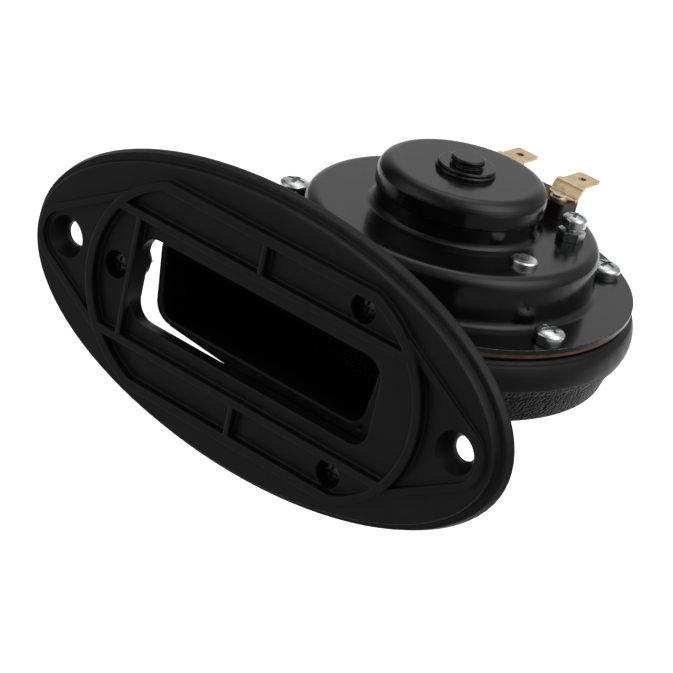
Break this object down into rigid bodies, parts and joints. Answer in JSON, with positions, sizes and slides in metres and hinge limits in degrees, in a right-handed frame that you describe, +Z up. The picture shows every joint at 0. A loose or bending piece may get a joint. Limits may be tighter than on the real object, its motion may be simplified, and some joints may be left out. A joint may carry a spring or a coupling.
{
  "type": "boat horn",
  "caption": "Drop-in electric disc horn with a snail trumpet behind an oval ribbed flange plate.",
  "frame": {"origin": "centre of the flange plate's mounting face, between the two mounting holes", "axes": "+X along the plate to the right as seen from outside the boat, +Y into the boat, +Z up"},
  "size_m": [0.1438, 0.1231, 0.0724],
  "materials": {
    "flange_plate": "satin moulded black",
    "plate_screws": "zinc plated",
    "plate_nuts": "zinc plated",
    "trumpet_shell": "black, pebble grain on the bowl",
    "throat_plate": "plain sheet",
    "lower_gasket": "matte",
    "diaphragm": "spring steel",
    "upper_gasket": "brown fibre",
    "housing": "gloss black",
    "rim_screws": "zinc plated",
    "raised_rim_screw": "zinc plated",
    "rim_spacer": "zinc plated",
    "pole_core": "black",
    "core_washer": "gloss black",
    "core_nut": "gloss black",
    "coil_bobbin": "natural nylon",
    "coil_winding": "enamelled copper wire",
    "armature": "plain steel",
    "armature_washer": "zinc plated",
    "armature_nut": "zinc plated",
    "breaker_rivet": "bright nickel",
    "breaker_insulators": "laminate",
    "fixed_arm": "spring brass",
    "fixed_contact": "tungsten",
    "moving_arm": "spring brass",
    "moving_contact": "tungsten",
    "push_pad": "fibre",
    "tone_screw": "zinc plated",
    "lock_nut": "zinc plated",
    "terminal_block": "dark phenolic",
    "terminal_left": "tin-flashed brass",
    "terminal_right": "tin-flashed brass",
    "terminal_rivets": "nickel",
    "terminal_insulators": "laminate"
  },
  "bodies": {
    "horn": {"flange_plate": "flange_plate", "plate_screws": "plate_screws", "plate_nuts": "plate_nuts", "trumpet_shell": "trumpet_shell", "throat_plate": "throat_plate", "lower_gasket": "lower_gasket", "diaphragm": "diaphragm", "upper_gasket": "upper_gasket", "housing": "housing", "rim_screws": "rim_screws", "raised_rim_screw": "raised_rim_screw", "rim_spacer": "rim_spacer", "pole_core": "pole_core", "core_washer": "core_washer", "core_nut": "core_nut", "coil_bobbin": "coil_bobbin", "coil_winding": "coil_winding", "breaker_rivet": "breaker_rivet", "breaker_insulators": "breaker_insulators", "fixed_arm": "fixed_arm", "fixed_contact": "fixed_contact", "terminal_block": "terminal_block", "terminal_left": "terminal_left", "terminal_right": "terminal_right", "terminal_rivets": "terminal_rivets", "terminal_insulators": "terminal_insulators"},
    "armature": {"armature": "armature", "armature_washer": "armature_washer", "armature_nut": "armature_nut"},
    "breaker_leaf": {"moving_arm": "moving_arm", "moving_contact": "moving_contact", "push_pad": "push_pad"},
    "tone_screw": {"tone_screw": "tone_screw"},
    "lock_nut": {"lock_nut": "lock_nut"}
  },
  "joints": [
    {"name": "armature_stroke", "type": "slide", "parent": "horn", "child": "armature", "axis": [0, 0, 1], "range_m": [0, 0.0007], "stiffness_N_per_m": 20000, "deforming": ["diaphragm"]},
    {"name": "breaker_flex", "type": "hinge", "parent": "horn", "child": "breaker_leaf", "pos_m": [0.02639, 0.05965, 0.01415], "axis": [1, 0, 0], "range_deg": [0, 3.5]},
    {"name": "tone_turn", "type": "hinge", "parent": "horn", "child": "tone_screw", "pos_m": [0.02291, 0.08385, 0.0187], "axis": [0, 0, 1], "range_deg": [-180, 180]},
    {"name": "lock_nut_turn", "type": "hinge", "parent": "horn", "child": "lock_nut", "pos_m": [0.02291, 0.08385, 0.0187], "axis": [0, 0, 1], "range_deg": [0, 90]}
  ],
  "couplings": [
    {"joint": "breaker_flex", "follows": "armature_stroke", "rad_per_m": 85.71}
  ]
}
